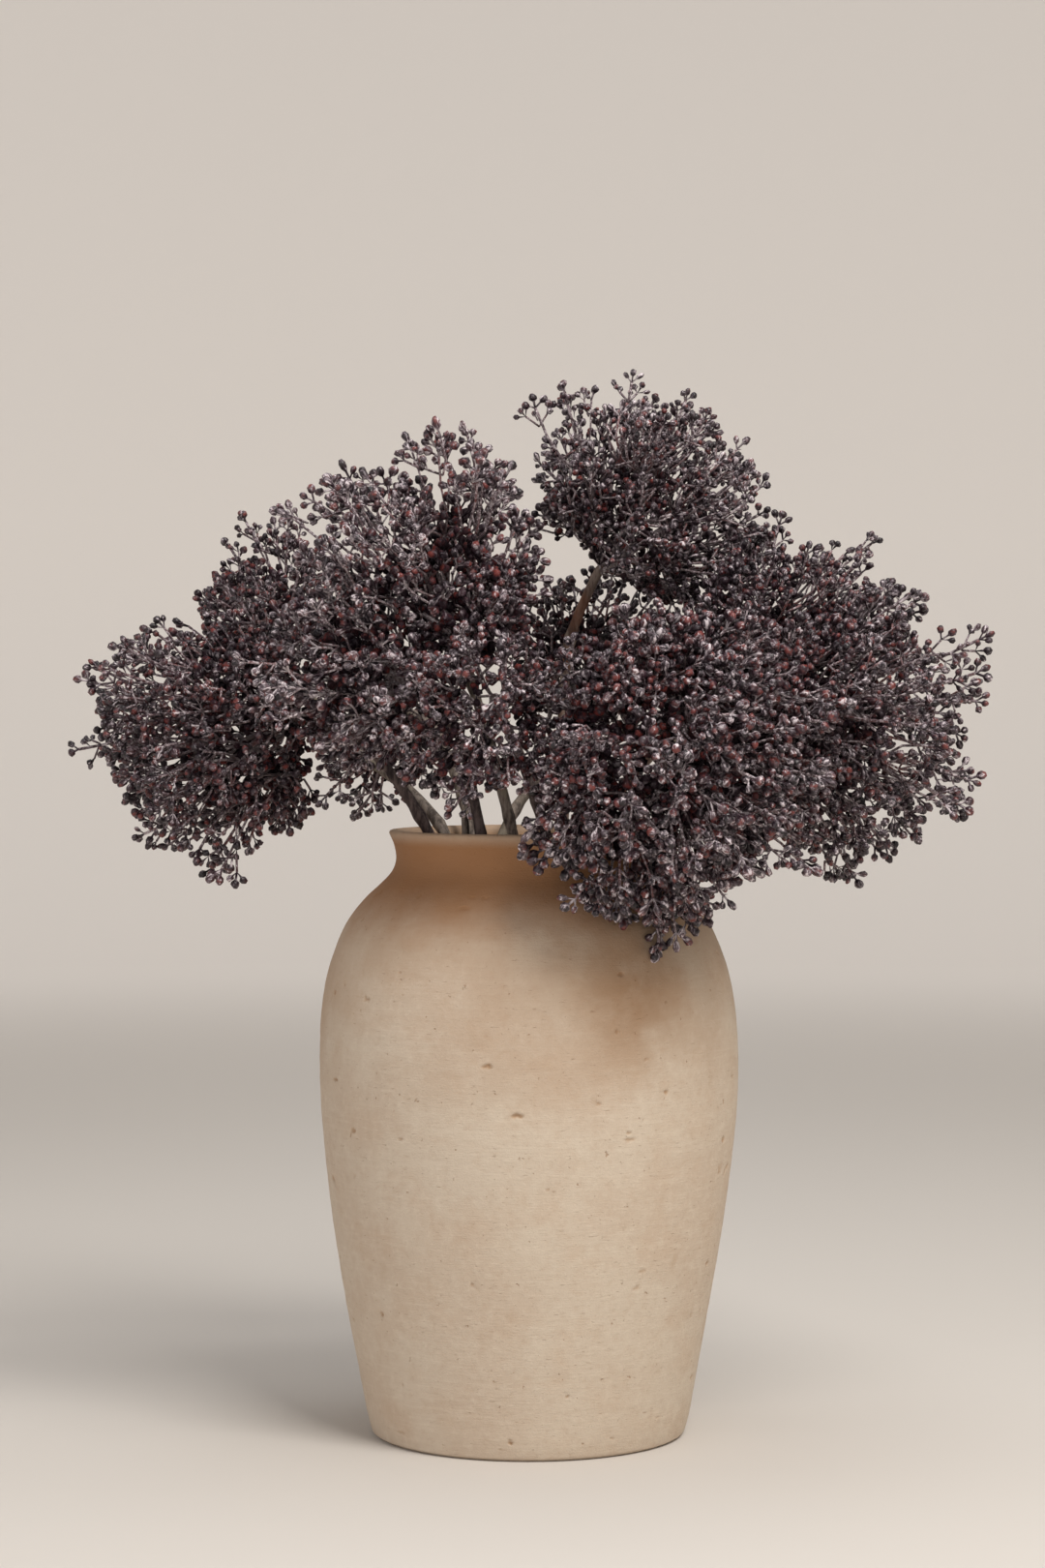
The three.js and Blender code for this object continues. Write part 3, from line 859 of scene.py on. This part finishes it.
show("earthenware_vase", vase_mesh(), clay, "earthenware", "vase")
twig = stem_mesh("cut_twig_bark", centreline("cut_twig"), UP * 0.5 * MM, random.Random(40))
show("cut_twig_bark", twig, grey_bark, "bark", "cut_twig")

STEM_LEAD = 7 * MM  # how far a stem's bark runs on past the end of its CAD node
HUB_LEAD = 5 * MM  # how far past that end the rays start

templates = bud_templates()
heads = [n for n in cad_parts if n.startswith("sprig_") and n.endswith("_berries")]
names = sorted(n.removeprefix("sprig_").removesuffix("_berries") for n in heads)
for number, name in enumerate(names):
    stream = random.Random(100 + number)
    line = centreline(f"sprig_{name}_stem")
    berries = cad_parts[f"sprig_{name}_berries"].data
    end = line[-1][0]
    facing = (mean([v.co for v in berries.vertices]) - end).normalized()
    bark = BARKS.get(name, grey_bark)
    stem = stem_mesh(f"{name}_stem", line, facing * STEM_LEAD, stream)
    show(f"{name}_stem", stem, bark, "bark", f"sprig_{name}_stem")
    head = Head(name, end + facing * HUB_LEAD, templates, stream)
    show(f"{name}_berries", head.buds_mesh(), berry, "dried_berries", f"sprig_{name}_berries")
    show(f"{name}_stalks", head.stalks_mesh(), stalk, "dried_berries")
for template, *_ in templates:
    bpy.data.meshes.remove(template)

# ---------------------------------------------------------------- stage, light and camera

COVE_RADIUS, COVE_CURVE, WALL_TOP = 3.1, 0.6, 2.8
GLOW_SQUARES = (1.0, 9.5)  # squared distances between which the paper comes to its full glow


def backdrop_paper():
    """Pale matt studio paper, lit from behind where it is far off, so that it stays bright."""
    material, tree, shader = new_material("backdrop_paper", Roughness=0.9)
    shader.inputs["Base Color"].default_value = paint("#d0cbc5")
    shader.inputs["Emission Color"].default_value = paint("#d3cdc8")
    place = node(tree, "SeparateXYZ", {0: node(tree, "TexCoord").outputs["Object"]})
    squares = [maths(tree, "MULTIPLY", place.outputs[axis], place.outputs[axis]) for axis in "XY"]
    far_off = ramp(tree, maths(tree, "ADD", *squares), *GLOW_SQUARES, 0.0, 0.35)
    tree.links.new(far_off, shader.inputs["Emission Strength"])
    return material


def round_cove():
    """A pale floor that curves up all round into a pale wall, wider than any camera's distance."""
    line = [(0, 0, 0)]
    for angle in (math.pi / 24 * i for i in range(13)):
        out, up = COVE_CURVE * math.sin(angle), COVE_CURVE - COVE_CURVE * math.cos(angle)
        line.append((COVE_RADIUS + out, 0, up))
    line.append((COVE_RADIUS + COVE_CURVE, 0, WALL_TOP))
    mesh = mesh_of(turned(line, 64), "backdrop")
    mesh.polygons.foreach_set("use_smooth", [True] * len(mesh.polygons))
    mesh.materials.append(backdrop_paper())
    made = bpy.data.objects.new("backdrop", mesh)
    bpy.context.scene.collection.objects.link(made)


def soft_light(name, place, aim, size, power, code):
    """A square area light that the camera doesn't see."""
    data = bpy.data.lights.new(name, "AREA")
    data.shape, data.size, data.energy = "SQUARE", size, power
    data.color = paint(code)[:3]
    made = bpy.data.objects.new(name, data)
    made.location = place
    made.rotation_euler = (Vector(aim) - Vector(place)).to_track_quat("-Z", "Y").to_euler()
    made.visible_camera = False
    bpy.context.scene.collection.objects.link(made)


round_cove()
soft_light("window", (0.75, -1.25, 2.0), (0, 0, 0.3), 1.0, 45, "#fffaf4")
soft_light("fill", (-1.5, -1.9, 1.0), (0, 0, 0.2), 1.8, 10, "#f6f7ff")
soft_light("overhead", (0.1, 0.1, 2.3), (0, 0.1, 0), 1.4, 14, "#ffffff")
world = bpy.data.worlds.new("room")
world.use_nodes = True
world.node_tree.nodes["Background"].inputs["Color"].default_value = paint("#f4f2f0")
world.node_tree.nodes["Background"].inputs["Strength"].default_value = 0.21
bpy.context.scene.world = world
bpy.context.scene.view_settings.view_transform = "Standard"

lens = bpy.data.cameras.new("camera")
lens.lens, lens.sensor_width = 85, 36
camera = bpy.data.objects.new("camera", lens)
camera.location = (-0.0029, -1.839, 0.3697)
camera.rotation_euler = (math.radians(90 - 1.468), 0, 0)
bpy.context.scene.collection.objects.link(camera)
bpy.context.scene.camera = camera
